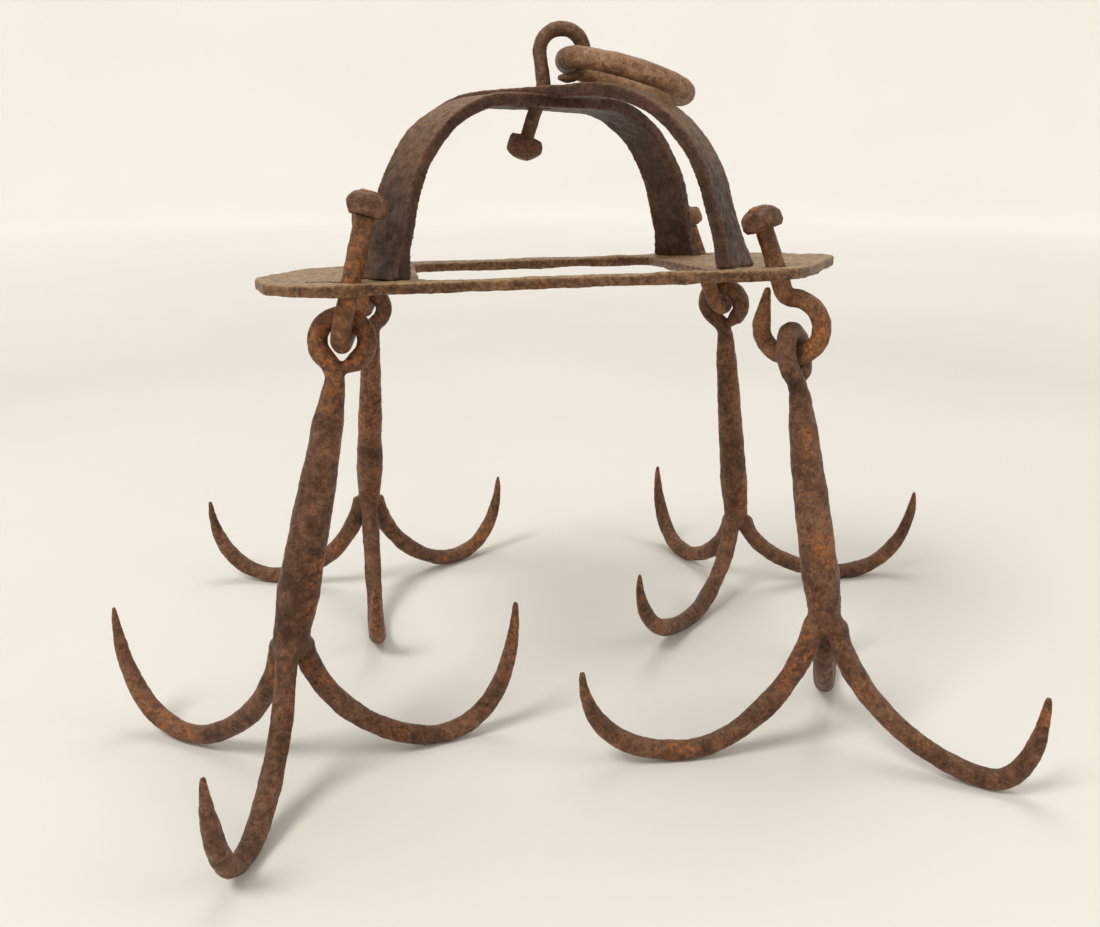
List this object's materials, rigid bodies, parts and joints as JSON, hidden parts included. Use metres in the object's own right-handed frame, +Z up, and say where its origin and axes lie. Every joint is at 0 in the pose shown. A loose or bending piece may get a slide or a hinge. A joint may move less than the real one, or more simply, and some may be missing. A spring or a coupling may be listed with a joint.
{
  "type": "grapnel",
  "caption": "Hand-forged hanging grapnel: flat iron frame under crossed arched straps, with a swivelling lifting ring and swivelling treble hooks hung at its corners.",
  "frame": {"origin": "middle of the footprint, on the floor that the tines stand on", "axes": "+Z up; +X along the frame's length, to the right seen from the front; +Y towards the back"},
  "size_m": [0.4256, 0.3328, 0.2985],
  "materials": {
    "frame_iron": "rusty forged iron",
    "strap_iron": "rusty forged iron",
    "ring_iron": "rusty forged iron",
    "eye_iron": "rusty forged iron",
    "head_iron": "rusty forged iron",
    "hook_iron": "rusty forged iron",
    "grapnel_iron": "rusty forged iron"
  },
  "bodies": {
    "crown": {"base_frame": "frame_iron", "lower_arch_strap": "strap_iron", "upper_arch_strap": "strap_iron"},
    "lifting_head": {"lifting_eye_head": "head_iron"},
    "lifting_eye": {"lifting_eye": "eye_iron"},
    "lifting_ring": {"lifting_ring": "ring_iron"},
    "front_left_head": {"front_left_swivel_head": "head_iron"},
    "front_left_hook": {"front_left_swivel_hook": "hook_iron"},
    "front_left_grapnel": {"front_left_shank": "grapnel_iron", "front_left_left_tine": "grapnel_iron", "front_left_right_tine": "grapnel_iron", "front_left_front_tine": "grapnel_iron"},
    "back_left_head": {"back_left_swivel_head": "head_iron"},
    "back_left_hook": {"back_left_swivel_hook": "hook_iron"},
    "back_left_grapnel": {"back_left_shank": "grapnel_iron", "back_left_left_tine": "grapnel_iron", "back_left_right_tine": "grapnel_iron", "back_left_front_tine": "grapnel_iron"},
    "front_right_head": {"front_right_swivel_head": "head_iron"},
    "front_right_hook": {"front_right_swivel_hook": "hook_iron"},
    "front_right_grapnel": {"front_right_shank": "grapnel_iron", "front_right_left_tine": "grapnel_iron", "front_right_right_tine": "grapnel_iron", "front_right_back_tine": "grapnel_iron"},
    "back_right_head": {"back_right_swivel_head": "head_iron"},
    "back_right_hook": {"back_right_swivel_hook": "hook_iron"},
    "back_right_grapnel": {"back_right_shank": "grapnel_iron", "back_right_back_tine": "grapnel_iron", "back_right_left_tine": "grapnel_iron", "back_right_right_tine": "grapnel_iron"}
  },
  "joints": [
    {"name": "lifting_eye_lift", "type": "slide", "parent": "crown", "child": "lifting_head", "axis": [0.3272, 0.0725, 0.9422], "range_m": [0, 0.0092]},
    {"name": "lifting_eye_turn", "type": "hinge", "parent": "lifting_head", "child": "lifting_eye", "pos_m": [-0.01849, 0.00553, 0.27129], "axis": [0.3272, 0.0725, 0.9422], "continuous": true},
    {"name": "lifting_ring_swing", "type": "hinge", "parent": "lifting_eye", "child": "lifting_ring", "pos_m": [-0.00789, 0.00646, 0.28326], "axis": [0, -0.9971, 0.0767], "range_deg": [0, 165]},
    {"name": "front_left_drop", "type": "slide", "parent": "crown", "child": "front_left_head", "axis": [-0.2481, -0.1348, -0.9593], "range_m": [0, 0.02265]},
    {"name": "front_left_turn", "type": "hinge", "parent": "front_left_head", "child": "front_left_hook", "pos_m": [-0.10119, -0.06564, 0.20003], "axis": [0.2481, 0.1348, 0.9593], "continuous": true},
    {"name": "front_left_swing", "type": "hinge", "parent": "front_left_hook", "child": "front_left_grapnel", "pos_m": [-0.10589, -0.05938, 0.1767], "axis": [0.0941, 0.9715, -0.2174], "range_deg": [-60, 60]},
    {"name": "back_left_drop", "type": "slide", "parent": "crown", "child": "back_left_head", "axis": [-0.1204, 0.1553, -0.9805], "range_m": [0, 0.01618]},
    {"name": "back_left_turn", "type": "hinge", "parent": "back_left_head", "child": "back_left_hook", "pos_m": [-0.09869, 0.05799, 0.19056], "axis": [0.1204, -0.1553, 0.9805], "continuous": true},
    {"name": "back_left_swing", "type": "hinge", "parent": "back_left_hook", "child": "back_left_grapnel", "pos_m": [-0.0991, 0.0708, 0.16836], "axis": [0.2617, 0.9227, 0.2831], "range_deg": [-50, 60]},
    {"name": "front_right_drop", "type": "slide", "parent": "crown", "child": "front_right_head", "axis": [0.3227, -0.1317, -0.9373], "range_m": [0, 0.01223]},
    {"name": "front_right_turn", "type": "hinge", "parent": "front_right_head", "child": "front_right_hook", "pos_m": [0.06779, -0.05846, 0.20214], "axis": [-0.3227, 0.1317, 0.9373], "continuous": true},
    {"name": "front_right_swing", "type": "hinge", "parent": "front_right_hook", "child": "front_right_grapnel", "pos_m": [0.0767, -0.06154, 0.1666], "axis": [0.7653, -0.5995, 0.2342], "range_deg": [-60, 60]},
    {"name": "back_right_drop", "type": "slide", "parent": "crown", "child": "back_right_head", "axis": [0.3582, -0.0326, -0.9331], "range_m": [0, 0.01141]},
    {"name": "back_right_turn", "type": "hinge", "parent": "back_right_head", "child": "back_right_hook", "pos_m": [0.06729, 0.05819, 0.19316], "axis": [-0.3582, 0.0326, 0.9331], "continuous": true},
    {"name": "back_right_swing", "type": "hinge", "parent": "back_right_hook", "child": "back_right_grapnel", "pos_m": [0.08343, 0.0649, 0.16665], "axis": [0.6016, 0.781, 0.1676], "range_deg": [-20, 60]}
  ]
}
